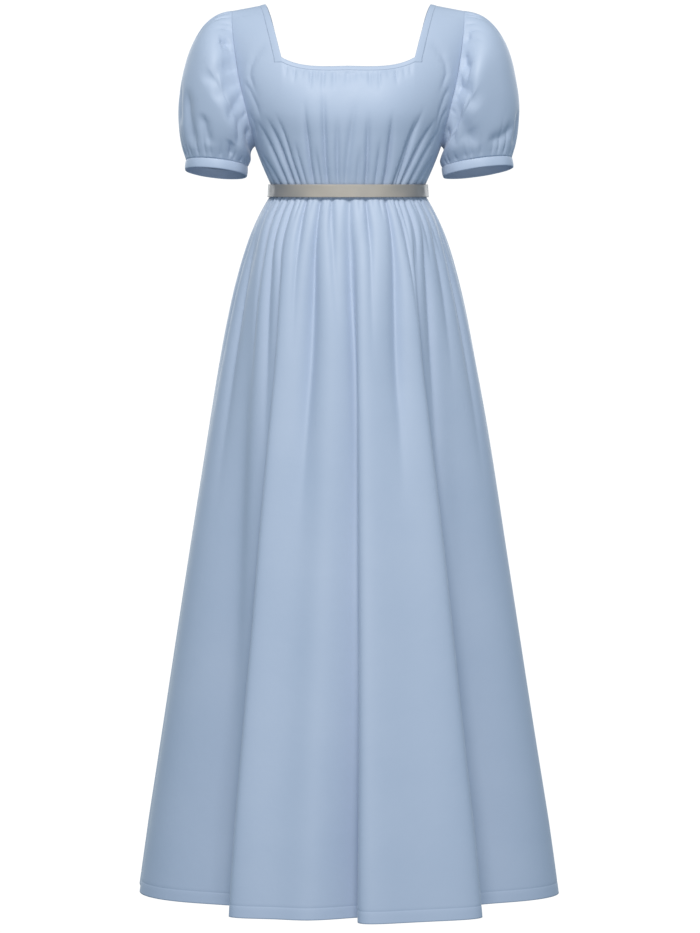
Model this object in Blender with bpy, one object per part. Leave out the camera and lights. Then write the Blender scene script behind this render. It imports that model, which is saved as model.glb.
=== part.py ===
"""Regency gown: square neck, puff sleeves, ribbon under the bust, long gathered skirt.

The gown is worn by nobody: it stands filled out and hollow. Metres, +Z up, the front faces -Y, +X is the
wearer's left. The origin is on the shoulder line, midway between the straps, where a wearer holds the gown up.
Every piece is a thin closed wall of cloth, laid on a surface function and drawn out along its normals.
"""

import math
from collections import namedtuple

import bmesh
import bpy
from mathutils import Vector

# Driving dimensions
WALL = 0.0015  # cloth wall
SEAM_GAP = 0.0003  # between two pieces at a seam
WAIST_Z = -0.293  # waist seam, under the bust
SKIRT_LENGTH = 1.117  # waist seam to hem
SKIRT_FLARE = (0.143, 0.131, 0.125)  # at the sides, front and back, for each metre down
SKIRT_FULLNESS = (0.0475, 0.034, 0.040)  # how far the gathers push it out at the sides, front and back
FULLNESS_DROP = 0.08  # the drop in which they do most of that
RIBBON_HEIGHT = 0.020
RIBBON_WALL = 0.0012
RIBBON_CLEARANCE = 0.0010  # over the gathers
RIBBON_SPREAD_ABOVE = 0.46  # sideways for each metre up, over the bodice
RIBBON_SPREAD_BELOW = 0.62  # sideways for each metre down, over the skirt
BINDING_WIDTH = 0.008
BINDING_WALL = 0.0010
CUFF_HEIGHT = 0.015
NECK_POINT_X = 0.131  # where a strap's inner edge crosses the shoulder
SHOULDER_TIP_X = 0.184  # where the shoulder seam meets the armhole
SHOULDER_DROP = 0.010  # fall of the shoulder seam from neck to tip
PANEL_LENGTH = 0.36  # of a bodice panel's cloth, for a rise of 1
STRAP_LENGTH = 0.30  # of its cloth near the shoulder, for a rise of 1
NECK_LINE_AT_WAIST = math.radians(42)  # where the line of the strap's inner edge meets the waist
ROUNDNESS = 0.87  # exponent of the body sections, where 1 is an ellipse
NECK_COLUMN = 0.5  # share of a panel's half width that the neckline takes
ARMHOLE_SWEEP = math.radians(23)  # how far the armhole cuts in from the side of the body sections
ARMHOLE_CURVE = 0.32  # share of the armhole's height that its curve underneath takes

# The body sections that the bodice hangs on, from the waist to the shoulder line, evenly spaced in "rise"
Section = namedtuple("Section", "z half_width front back")
SECTIONS = (
    Section(WAIST_Z, 0.1180, 0.102, 0.088),
    Section(-0.251, 0.1365, 0.115, 0.091),
    Section(-0.210, 0.1520, 0.124, 0.093),
    Section(-0.170, 0.1690, 0.128, 0.096),
    Section(-0.127, 0.1815, 0.119, 0.096),
    Section(-0.086, 0.1890, 0.099, 0.090),
    Section(-0.045, 0.1945, 0.068, 0.070),
    Section(-0.014, 0.1965, 0.034, 0.038),
    Section(0.000, 0.1970, 0.000, 0.000),
)
UNDERARM_RISE = 1.7 / 8  # the armhole's lowest point, at the third section

# A bodice panel: the side it faces along Y, the rise of its neckline's corners, how far the strap's inner edge
# comes in by then and how sharply, and how far the neckline dips at its middle
Panel = namedtuple("Panel", "facing neck_rise comes_in sharpness dip")
FRONT = Panel(-1, 5 / 8, 0.027, 1.3, 0.017)
BACK = Panel(1, 4.3 / 8, 0.029, 1.1, 0.012)

# Gathers of the bodice: where a trough stands across the panel at the waist and at its top end (-1 to 1),
# its depth, its half-width as a share of the panel, and the rise where it ends
Gather = namedtuple("Gather", "low high depth width reach")
FRONT_GATHERS = (
    Gather(-0.6875, -0.6250, 0.0055, 0.042, 0.42),
    Gather(-0.5000, -0.4375, 0.0050, 0.042, 0.46),
    Gather(-0.3125, -0.3125, 0.0045, 0.040, 0.54),
    Gather(-0.1250, -0.1875, 0.0045, 0.038, 0.56),
    Gather(0.1250, 0.1250, 0.0045, 0.038, 0.56),
    Gather(0.3125, 0.3750, 0.0045, 0.040, 0.52),
    Gather(0.5000, 0.5625, 0.0050, 0.042, 0.46),
    Gather(0.6875, 0.6250, 0.0055, 0.042, 0.40),
)
BACK_GATHERS = (
    Gather(-0.5625, -0.5000, 0.0045, 0.042, 0.42),
    Gather(-0.3125, -0.3125, 0.0045, 0.042, 0.46),
    Gather(-0.0625, -0.0625, 0.0040, 0.042, 0.46),
    Gather(0.1875, 0.1875, 0.0045, 0.042, 0.45),
    Gather(0.5000, 0.4375, 0.0045, 0.042, 0.42),
)

# Folds of the skirt: bearing at the waist and at the hem, in degrees from the front towards +X; how far the
# fold stands out at the hem (a trough is negative); its half-width there in degrees; how far it leans sideways
# for each metre that it stands out; and the shares of the skirt's length where it begins and where it is full
Fold = namedtuple("Fold", "top hem out width lean begins full")
SKIRT_FOLDS = (
    Fold(-76, -80, 0.010, 8, 0.0, 0.10, 0.9),
    Fold(-57, -51, -0.058, 10, -0.5, 0.02, 0.9),
    Fold(-36, -41, -0.046, 5.0, -1.0, 0.05, 0.9),
    Fold(-29, -31, 0.026, 7, -0.5, 0.03, 0.9),
    Fold(-17, -18, -0.012, 6, 0.0, 0.00, 0.4),
    Fold(-8, -14, 0.020, 8, 0.3, 0.05, 0.9),
    Fold(-1, -4, -0.044, 4.6, -1.0, 0.02, 0.9),
    Fold(7, 5, 0.028, 7, -0.6, 0.05, 0.9),
    Fold(23, 20, 0.024, 9, 0.2, 0.25, 1.0),
    Fold(30, 32, 0.030, 7, 0.6, 0.05, 0.9),
    Fold(38, 43, -0.052, 5.5, 1.0, 0.04, 0.9),
    Fold(57, 54, -0.052, 9, 0.5, 0.02, 0.9),
    Fold(74, 79, 0.016, 8, 0.0, 0.10, 0.9),
    Fold(104, 104, -0.028, 8, 0.3, 0.04, 0.9),
    Fold(122, 123, 0.030, 8, -0.4, 0.04, 0.9),
    Fold(140, 141, -0.040, 7, 0.6, 0.03, 0.9),
    Fold(156, 156, 0.030, 7, -0.4, 0.05, 0.9),
    Fold(172, 171, -0.036, 6.5, 0.7, 0.03, 0.9),
    Fold(187, 188, 0.030, 8, 0.3, 0.05, 0.9),
    Fold(204, 205, -0.042, 7, -0.6, 0.03, 0.9),
    Fold(220, 221, 0.030, 7, 0.4, 0.05, 0.9),
    Fold(237, 237, -0.036, 7, -0.5, 0.03, 0.9),
    Fold(256, 255, 0.020, 8, 0.3, 0.08, 0.9),
)

# A sleeve: its side, the middle of its seam with the cuff, the cuff's half-width and half-depth, how far the
# cuff's mouth tips outwards and forwards, in degrees, and how full its puff is beside the other's
Sleeve = namedtuple("Sleeve", "name side cuff_x cuff_z half_width half_depth tip_out tip_forward puff")
SLEEVES = (
    Sleeve("left", 1, 0.204, -0.2490, 0.0555, 0.038, 8, 11, 1.02),
    Sleeve("right", -1, 0.208, -0.2505, 0.0485, 0.046, 6, 10, 0.95),
)
CUFF_Y = -0.004

# How far the sleeve's cloth is thrown from the armhole and from the cuff, at the sleeve's top, front, underarm
# and back: outwards from the body, abroad from the middle of the armhole or the cuff, and up from the cuff
Throw = namedtuple("Throw", "top front under back")
ARM_OUT = Throw(0.088, 0.054, 0.012, 0.054)
ARM_ABROAD = Throw(-0.003, 0.050, 0.008, 0.046)
CUFF_RISE = Throw(0.060, 0.060, 0.016, 0.060)
CUFF_ABROAD = Throw(0.030, 0.048, 0.004, 0.046)

# Folds of a sleeve: where around it, as a share from its top towards its front; how far out; its half-width;
# and where along the sleeve it is deepest
Crease = namedtuple("Crease", "around out width along")
SLEEVE_CREASES = (
    Crease(0.107, -0.005, 0.026, 0.20),
    Crease(0.214, -0.007, 0.026, 0.30),
    Crease(0.321, -0.006, 0.026, 0.35),
    Crease(0.393, -0.004, 0.024, 0.60),
    Crease(0.643, -0.005, 0.026, 0.50),
    Crease(0.750, -0.006, 0.028, 0.30),
    Crease(0.893, -0.005, 0.028, 0.22),
)

# Columns and rows of the pieces
BODICE_COLUMNS = 32
WAIST_TO_ARM_ROWS = 3
ARM_TO_NECK_ROWS = 4
STRAP_ROWS = 4
SKIRT_COLUMNS = 44
SKIRT_ROWS = 10
SLEEVE_COLUMNS = 28
SLEEVE_ROWS = 7
RIBBON_COLUMNS = 48

CLOTH_BLUE = (0.50, 0.61, 0.72, 1.0)
RIBBON_TAUPE = (0.40, 0.38, 0.35, 1.0)
STEP = 0.004  # of a surface's shares, for its slopes


# ---------------------------------------------------------------- helpers

def smooth_step(low, high, value):
    share = min(1.0, max(0.0, (value - low) / (high - low)))
    return share * share * (3 - 2 * share)


def bell(offset, half_width):
    return math.exp(-0.5 * (offset / half_width) ** 2)


def mix(a, b, share):
    return a + (b - a) * share


def signed_power(value, power):
    return math.copysign(abs(value) ** power, value)


def catmull_rom(before, start, end, after, share):
    return 0.5 * (
        2 * start
        + (end - before) * share
        + (2 * before - 5 * start + 4 * end - after) * share**2
        + (3 * start - before - 3 * end + after) * share**3
    )


def section_at(rise):
    """The body section at a rise from 0 at the waist to 1 on the shoulder line, rounded over at the top."""
    top, below = SECTIONS[-1], SECTIONS[-2]
    over = Section(below.z, top.half_width, -below.front, -below.back)
    rows = (SECTIONS[0],) + SECTIONS + (over,)
    place = min(max(rise, 0.0), 1.0) * (len(SECTIONS) - 1)
    index = min(int(place), len(SECTIONS) - 2)
    return Section(*(catmull_rom(*column, place - index) for column in zip(*rows[index : index + 4])))


def slopes_normal(point, column, row, low=(0.0, 0.0), high=(1.0, 1.0)):
    """The unit normal of the surface point(column, row), within the shares where it can be asked."""
    left, right = max(low[0], column - STEP), min(high[0], column + STEP)
    under, over = max(low[1], row - STEP), min(high[1], row + STEP)
    sideways = point(right, row) - point(left, row)
    along = point(column, over) - point(column, under)
    return sideways.cross(along).normalized()


# ---------------------------------------------------------------- bodice

def bearing_of(x, half_width):
    """The angle from a panel's middle at which a body section of that half width is x from the middle."""
    return math.asin(min(1.0, abs(x) / half_width) ** (1 / ROUNDNESS))


def body_point(panel, bearing, rise):
    section = section_at(rise)
    depth = section.front if panel is FRONT else section.back
    x = section.half_width * signed_power(math.sin(bearing), ROUNDNESS)
    y = panel.facing * depth * max(0.0, math.cos(bearing)) ** ROUNDNESS
    share = (abs(x) - NECK_POINT_X) / (SHOULDER_TIP_X - NECK_POINT_X)
    return Vector((x, y, section.z - SHOULDER_DROP * share * smooth_step(0.5, 1.0, rise)))


def armhole_bearing(rise):
    """The panel's outer edge: the side seam up to the underarm, then the armhole."""
    share = max(0.0, (rise - UNDERARM_RISE) / (1 - UNDERARM_RISE))
    left = 1 - min(1.0, share / ARMHOLE_CURVE)
    return math.pi / 2 - ARMHOLE_SWEEP * math.sqrt(max(0.0, 1 - left**2))


def neck_bearing(panel, rise):
    """The line of the strap's inner edge, carried on down the panel to the waist."""
    up = max(rise, panel.neck_rise)
    share = (1 - up) / (1 - panel.neck_rise)
    edge = bearing_of(NECK_POINT_X - panel.comes_in * share**panel.sharpness, section_at(up).half_width)
    return mix(NECK_LINE_AT_WAIST, edge, smooth_step(0.0, 1.0, rise / panel.neck_rise))


def panel_point(panel, across, rise):
    """A point of a bodice panel before its gathers; across runs from -1 to 1, side to side."""
    share = abs(across)
    bearing = neck_bearing(panel, rise) * share / NECK_COLUMN
    if share > NECK_COLUMN:
        over = (share - NECK_COLUMN) / (1 - NECK_COLUMN)
        bearing = mix(neck_bearing(panel, rise), armhole_bearing(rise), over)
    point = body_point(panel, math.copysign(bearing, across), rise)
    middle = max(0.0, 1 - (share / NECK_COLUMN) ** 3)
    point.z -= panel.dip * middle * min(1.0, rise / panel.neck_rise) ** 4
    return point


def gathered_point(panel, across, rise):
    depth = 0.0
    for gather in FRONT_GATHERS if panel is FRONT else BACK_GATHERS:
        line = mix(gather.low, gather.high, rise / gather.reach)
        fade = 1 - smooth_step(0.6 * gather.reach, gather.reach, rise)
        start = mix(0.3, 1.0, smooth_step(0.0, 0.10, rise))
        depth += gather.depth * bell(across - line, gather.width) * fade * start
    depth *= smooth_step(1.0, 0.86, abs(across))
    base = panel_point(panel, across, rise)
    if depth < 0.00001:
        return base
    return base - panel_normal(panel, panel_point, across, rise) * depth


def panel_normal(panel, surface, across, rise):
    def point(column, row):
        return surface(panel, column, row)

    normal = slopes_normal(point, across, rise, (-1.0, 0.0)) * -panel.facing
    normal.z *= smooth_step(0.0, 0.04, rise)  # level at the waist seam
    normal.y *= smooth_step(1.0, 0.985, rise)  # upright along the shoulder seam
    if rise <= UNDERARM_RISE + 0.01:
        normal.y *= smooth_step(1.0, 0.97, abs(across))  # square to the side seam
    return normal.normalized()


def row_rises(panel):
    """The rises of a panel's rows: side seam, armhole, the band under the neckline, straps."""
    band = panel.neck_rise - BINDING_WIDTH / PANEL_LENGTH
    side = [UNDERARM_RISE * i / WAIST_TO_ARM_ROWS for i in range(WAIST_TO_ARM_ROWS)]
    side[0] = SEAM_GAP / PANEL_LENGTH
    arm = [mix(UNDERARM_RISE, band, (i / ARM_TO_NECK_ROWS) ** 1.5) for i in range(ARM_TO_NECK_ROWS)]
    strap = [mix(panel.neck_rise, 1.0, i / STRAP_ROWS) for i in range(STRAP_ROWS)]
    return side + arm + [band] + strap + [1.0 - SEAM_GAP / STRAP_LENGTH]


# ---------------------------------------------------------------- skirt

def growth(fold, share):
    grown = min(1.0, max(0.0, (share - fold.begins) / (fold.full - fold.begins)))
    return grown**0.9 * smooth_step(0.0, 0.08, grown)


def skirt_point(bearing, share):
    """A point of the skirt; bearing in degrees from the front towards +X, share from 0 at the waist to 1."""
    drop = share * SKIRT_LENGTH
    spread = 1 - math.exp(-drop / FULLNESS_DROP)
    angle = math.radians(bearing)
    side, front, back = (flare * drop + full * spread for flare, full in zip(SKIRT_FLARE, SKIRT_FULLNESS))
    half_width = SECTIONS[0].half_width + side
    depth = SECTIONS[0].front + front if math.cos(angle) >= 0 else SECTIONS[0].back + back
    roundness = mix(ROUNDNESS, 1.0, smooth_step(0.0, 0.25, share))
    x = half_width * signed_power(math.sin(angle), roundness)
    y = -depth * signed_power(math.cos(angle), roundness)
    outward = Vector((math.sin(angle) / half_width, -math.cos(angle) / depth, 0)).normalized()
    sideways = Vector((-outward.y, outward.x, 0))
    point = Vector((x, y, WAIST_Z - drop))
    for fold in SKIRT_FOLDS:
        offset = (bearing - mix(fold.top, fold.hem, share) + 180) % 360 - 180
        stand = fold.out * growth(fold, share) * bell(offset, fold.width)
        point += (outward + sideways * fold.lean) * stand
    return point


def skirt_normal(bearing, share):
    def point(column, row):
        return skirt_point(360 * column, row)

    normal = slopes_normal(point, bearing / 360, share, (-1.0, 0.0), (2.0, 1.0)) * -1
    normal.z *= smooth_step(0.0, 0.03, share)
    return normal.normalized()


# ---------------------------------------------------------------- sleeves

def around(throw, share):
    """A throw at a share of the way round, from the top towards the front."""
    turn = 2 * math.pi * share
    wave = (throw.top + throw.under - throw.front - throw.back) / 4 * math.cos(2 * turn)
    wave += (throw.top - throw.under) / 2 * math.cos(turn) + (throw.front - throw.back) / 2 * math.sin(turn)
    return sum(throw) / 4 + wave


def armhole_edge(sleeve, share):
    """The armhole's edge and the panel's normal there, on the straight runs between the panel's own rows."""
    share %= 1.0
    panel = FRONT if share <= 0.5 else BACK
    down = 2 * min(share, 1 - share)
    rise = mix(1.0, UNDERARM_RISE, mix(down, smooth_step(0.0, 1.0, down), 0.35))
    rows = row_rises(panel)[:-1] + [1.0]
    index = max(i for i, row in enumerate(rows[:-1]) if row <= rise + 0.000001)
    part = (rise - rows[index]) / (rows[index + 1] - rows[index])
    edge, normal = (
        mix(found(rows[index]), found(rows[index + 1]), part)
        for found in (
            lambda row: panel_point(panel, sleeve.side, row),
            lambda row: panel_normal(panel, panel_point, sleeve.side, row),
        )
    )
    return edge, normal.normalized()


def cuff_axes(sleeve):
    """Across the cuff away from the body, across it towards the front, and out of its mouth."""
    out, forward = math.radians(sleeve.tip_out), math.radians(sleeve.tip_forward)
    across = Vector((sleeve.side * math.cos(out), 0, math.sin(out)))
    to_front = Vector((0, -math.cos(forward), math.sin(forward)))
    mouth = across.cross(to_front) * sleeve.side
    return across, to_front, mouth.normalized()


def cuff_point(sleeve, share, along):
    """A point on the cuff, along metres from its seam with the sleeve towards its mouth."""
    across, to_front, mouth = cuff_axes(sleeve)
    turn = 2 * math.pi * share
    middle = Vector((sleeve.side * sleeve.cuff_x, CUFF_Y, sleeve.cuff_z))
    spread = across * sleeve.half_width * math.cos(turn) + to_front * sleeve.half_depth * math.sin(turn)
    return middle + spread + mouth * along


def cuff_normal(sleeve, share):
    across, to_front, _ = cuff_axes(sleeve)
    turn = 2 * math.pi * share
    flat = across * (math.cos(turn) / sleeve.half_width) + to_front * (math.sin(turn) / sleeve.half_depth)
    return flat.normalized()


def sleeve_point(sleeve, share, along):
    """A point of the sleeve's cloth, along from 0 at the armhole to 1 at the cuff, before its folds."""
    edge, normal = armhole_edge(sleeve, share)
    abroad = Vector((0, edge.y, edge.z + 0.115)).normalized()
    out = Vector((sleeve.side, 0, 0))
    throw = out * around(ARM_OUT, share) * sleeve.puff + abroad * around(ARM_ABROAD, share)
    over = max(0.0, throw.normalized().dot(normal))
    start = edge + normal * over * (WALL + SEAM_GAP) + throw.normalized() * (WALL * (1 - over) / 2 + SEAM_GAP)
    across, to_front, mouth = cuff_axes(sleeve)
    turn = 2 * math.pi * share
    cuff_abroad = across * math.cos(turn) + to_front * math.sin(turn)
    end = cuff_point(sleeve, share, -SEAM_GAP)
    second = end - mouth * around(CUFF_RISE, share) + cuff_abroad * around(CUFF_ABROAD, share)
    left = 1 - along
    return (
        start * left**3
        + (start + throw) * 3 * left**2 * along
        + second * 3 * left * along**2
        + end * along**3
    )


def creased_sleeve_point(sleeve, share, along):
    depth = 0.0
    for crease in SLEEVE_CREASES:
        offset = (share - crease.around + 0.5) % 1.0 - 0.5
        depth += crease.out * bell(offset, crease.width) * bell(along - crease.along, 0.22)
    depth *= smooth_step(0.0, 0.10, along) * smooth_step(1.0, 0.88, along)
    return sleeve_point(sleeve, share, along) + sleeve_normal(sleeve, sleeve_point, share, along) * depth


def sleeve_normal(sleeve, surface, share, along):
    def point(column, row):
        return surface(sleeve, column, row)

    normal = slopes_normal(point, share, along, (-1.0, 0.0), (2.0, 1.0)) * sleeve.side
    return mix(normal, cuff_normal(sleeve, share), smooth_step(0.93, 1.0, along)).normalized()


# ---------------------------------------------------------------- making pieces

def material(name, colour, roughness):
    made = bpy.data.materials.new(name)
    made.use_nodes = True
    shader = made.node_tree.nodes["Principled BSDF"]
    shader.inputs["Base Color"].default_value = colour
    shader.inputs["Roughness"].default_value = roughness
    return made


def add_wall(name, finish, columns, rows, wall, place, keep=None, tube=False):
    """A closed wall of cloth: place(column share, row share) gives its middle surface's point and normal."""
    cloth = bmesh.new()
    bmesh.ops.create_grid(cloth, x_segments=columns, y_segments=rows, size=0.5)
    for corner in cloth.verts:
        corner.co.x, corner.co.y = corner.co.x + 0.5, corner.co.y + 0.5
    if keep:
        cut = [face for face in cloth.faces if not keep(*face.calc_center_median().xy)]
        bmesh.ops.delete(cloth, geom=cut, context="FACES")
    if tube:
        last = [corner for corner in cloth.verts if corner.co.x > 1 - 0.5 / columns]
        for corner in last:
            corner.co.x = 0
        bmesh.ops.remove_doubles(cloth, verts=cloth.verts[:], dist=0.00001)
    made = bmesh.ops.extrude_face_region(cloth, geom=cloth.faces[:], use_keep_orig=True)
    outer = {corner for corner in made["geom"] if isinstance(corner, bmesh.types.BMVert)}
    for corner in cloth.verts:
        point, normal = place(corner.co.x, corner.co.y)
        corner.co = point + normal * (wall / 2 if corner in outer else -wall / 2)
    bmesh.ops.recalc_face_normals(cloth, faces=cloth.faces[:])
    if cloth.calc_volume(signed=True) < 0:
        bmesh.ops.reverse_faces(cloth, faces=cloth.faces[:])
    mesh = bpy.data.meshes.new(name)
    cloth.to_mesh(mesh)
    cloth.free()
    mesh.materials.append(finish)
    piece = bpy.data.objects.new(name, mesh)
    bpy.data.collections["regency_gown"].objects.link(piece)
    return piece


def make_bodice(name, panel, finish):
    """A gathered panel with its two straps."""
    rises = row_rises(panel)
    count = len(rises) - 1
    edge = 1 - SEAM_GAP / 2 / 0.22

    def place(column, row):
        across, rise = (2 * column - 1) * edge, rises[round(row * count)]
        return gathered_point(panel, across, rise), panel_normal(panel, gathered_point, across, rise)

    def keep(column, row):
        return row * count < count - STRAP_ROWS or abs(2 * column - 1) > NECK_COLUMN

    return add_wall(name, finish, BODICE_COLUMNS, count, WALL, place, keep)


def make_binding(name, finish):
    """The band round the neckline: the panels' own points beside it, moved out."""
    half = BODICE_COLUMNS
    column_width = 2 / BODICE_COLUMNS
    rises = row_rises(FRONT)[-STRAP_ROWS - 2 : -1] + [1.0] + row_rises(BACK)[-STRAP_ROWS - 2 : -1][::-1]
    count = len(rises) - 1
    lift = (WALL + BINDING_WALL) / 2 + SEAM_GAP

    def place(column, row):
        index = round(row * count)
        panel = FRONT if index <= STRAP_ROWS + 1 else BACK
        across, rise = 2 * column - 1, rises[index]
        normal = panel_normal(panel, panel_point, across, rise)
        return panel_point(panel, across, rise) + normal * lift, normal

    def keep(column, row):
        across = abs(2 * column - 1)
        in_rows = row * count < 1 or row * count > count - 1
        return across < NECK_COLUMN + column_width and (in_rows or across > NECK_COLUMN)

    return add_wall(name, finish, half, count, BINDING_WALL, place, keep)


def make_ribbon(name, finish):
    """The satin ribbon over the waist seam; it spreads with the bodice above and the skirt below."""
    lift = (WALL + RIBBON_WALL) / 2 + SEAM_GAP + RIBBON_CLEARANCE

    def place(column, row):
        angle = 2 * math.pi * column
        height = (row - 0.5) * RIBBON_HEIGHT
        depth = SECTIONS[0].front if math.cos(angle) > 0 else SECTIONS[0].back
        grown = lift + abs(height) * (RIBBON_SPREAD_ABOVE if height > 0 else RIBBON_SPREAD_BELOW)
        x = (SECTIONS[0].half_width + grown) * signed_power(math.sin(angle), ROUNDNESS)
        y = -(depth + grown) * signed_power(math.cos(angle), ROUNDNESS)
        normal = Vector((math.sin(angle) / 0.12, -math.cos(angle) / depth, 0)).normalized()
        return Vector((x, y, WAIST_Z + height)), normal

    return add_wall(name, finish, RIBBON_COLUMNS, 2, RIBBON_WALL, place, tube=True)


def make_skirt(name, middle, finish):
    """Half of the skirt, from side seam to side seam."""
    gap_share = SEAM_GAP / 2 / SKIRT_LENGTH
    gap_angle = math.degrees(SEAM_GAP / 2 / 0.12)

    def place(column, row):
        bearing = middle + mix(-90 + gap_angle, 90 - gap_angle, column)
        share = mix(gap_share, 1.0, (1 - row) ** 1.7)
        return skirt_point(bearing, share), skirt_normal(bearing, share)

    return add_wall(name, finish, SKIRT_COLUMNS, SKIRT_ROWS, WALL, place)


def make_sleeve(name, sleeve, finish):
    def place(column, row):
        point = creased_sleeve_point(sleeve, column, row)
        return point, sleeve_normal(sleeve, creased_sleeve_point, column, row)

    return add_wall(name, finish, SLEEVE_COLUMNS, SLEEVE_ROWS, WALL, place, tube=True)


def make_cuff(name, sleeve, finish):
    def place(column, row):
        return cuff_point(sleeve, column, CUFF_HEIGHT * row), cuff_normal(sleeve, column)

    return add_wall(name, finish, SLEEVE_COLUMNS, 1, WALL, place, tube=True)


def main():
    for old in list(bpy.data.objects):
        bpy.data.objects.remove(old)
    bpy.context.scene.collection.children.link(bpy.data.collections.new("regency_gown"))
    cloth = material("blue_cloth", CLOTH_BLUE, 0.6)
    satin = material("taupe_satin", RIBBON_TAUPE, 0.4)
    make_bodice("bodice_front", FRONT, cloth)
    make_bodice("bodice_back", BACK, cloth)
    make_binding("neck_binding", cloth)
    make_ribbon("waist_ribbon", satin)
    make_skirt("skirt_front", 0, cloth)
    make_skirt("skirt_back", 180, cloth)
    for sleeve in SLEEVES:
        make_sleeve(f"sleeve_{sleeve.name}", sleeve, cloth)
        make_cuff(f"cuff_{sleeve.name}", sleeve, cloth)


main()
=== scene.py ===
import math
from bisect import bisect
from collections import namedtuple
from functools import lru_cache

import bmesh
import bpy
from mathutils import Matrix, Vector, noise


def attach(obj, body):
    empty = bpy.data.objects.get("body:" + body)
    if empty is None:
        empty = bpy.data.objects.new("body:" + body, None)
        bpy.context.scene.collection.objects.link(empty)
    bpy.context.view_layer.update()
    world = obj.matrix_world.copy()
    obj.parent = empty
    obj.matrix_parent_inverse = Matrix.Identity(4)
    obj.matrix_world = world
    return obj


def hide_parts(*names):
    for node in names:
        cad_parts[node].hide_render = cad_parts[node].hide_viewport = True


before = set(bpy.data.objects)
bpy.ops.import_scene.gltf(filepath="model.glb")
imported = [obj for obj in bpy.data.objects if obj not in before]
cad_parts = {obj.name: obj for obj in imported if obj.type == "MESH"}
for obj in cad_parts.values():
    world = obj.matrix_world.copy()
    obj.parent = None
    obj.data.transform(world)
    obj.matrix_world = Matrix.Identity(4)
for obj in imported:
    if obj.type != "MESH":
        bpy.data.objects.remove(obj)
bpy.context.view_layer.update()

# A regency gown, in metres: +Z up, front towards -Y, +X the wearer's left, origin on the shoulder line. Each
# cloth is laid over a form, which gives a point for two shares, and is then raised along its own normals.

CLOTH_THICKNESS = 0.0008
SEAM_GAP = 0.0003
WAIST_Z = -0.293
SKIRT_LENGTH = 1.117
SKIRT_FLARE = (0.143, 0.131, 0.125)  # at the sides, front and back, for each metre down
SKIRT_FULLNESS = (0.0475, 0.034, 0.040)  # how far the gathers push it out at the sides, front and back
FULLNESS_DROP = 0.08  # the drop in which they do most of that
HEM_DEPTH = 0.0185
RIBBON_HEIGHT = 0.020
RIBBON_LIFT = 0.0027
RIBBON_SPREAD_ABOVE = 0.46
RIBBON_SPREAD_BELOW = 0.55
RIBBON_BEND = 0.008  # half the height over which its section turns round the waist seam
RIBBON_HOLLOW = 0.25  # the share of that bend which the taut satin follows
BINDING_WIDTH = 0.008
BINDING_LIFT = 0.0011
CUFF_HEIGHT = 0.015
NECK_POINT_X = 0.131
SHOULDER_TIP_X = 0.184
SHOULDER_DROP = 0.010
ROUNDNESS = 0.87
NECK_COLUMN = 0.5
STRAP_EDGE_COLUMN = 0.5625
PANEL_LENGTH = 0.36  # of a bodice panel's cloth, for a rise of 1
STRAP_LENGTH = 0.30  # of its cloth near the shoulder, for a rise of 1
PANEL_HALF_WIDTH = 0.22
NECK_LINE_AT_WAIST = math.radians(42)  # where the line of the strap's inner edge meets the waist
ARMHOLE_SWEEP = math.radians(23)
ARMHOLE_CURVE = 0.32
UNDERARM_RISE = 1.7 / 8
ARMHOLE_MIDDLE_Z = -0.115
SLOPE_STEP = 0.004  # how far apart, as a share, the points that give a form's slope are

CREASE_ACROSS = 0.20  # the bodice's size for its creases: half its width, and its height
CREASE_UP = 0.34
DEEPEST_CREASE = 0.0075
GATHER_STRENGTH = 1.2
WRINKLE_STRENGTH = 1.2

Section = namedtuple("Section", "z half_width front back")
SECTIONS = (
    Section(WAIST_Z, 0.1180, 0.102, 0.088),
    Section(-0.251, 0.1365, 0.115, 0.091),
    Section(-0.210, 0.1520, 0.124, 0.093),
    Section(-0.170, 0.1690, 0.128, 0.096),
    Section(-0.127, 0.1815, 0.119, 0.096),
    Section(-0.086, 0.1890, 0.099, 0.090),
    Section(-0.045, 0.1945, 0.068, 0.070),
    Section(-0.014, 0.1965, 0.034, 0.038),
    Section(0.000, 0.1970, 0.000, 0.000),
)

Panel = namedtuple("Panel", "facing neck_rise comes_in sharpness dip")
FRONT = Panel(-1, 5 / 8, 0.027, 1.3, 0.017)
BACK = Panel(1, 4.3 / 8, 0.029, 1.1, 0.012)

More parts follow.
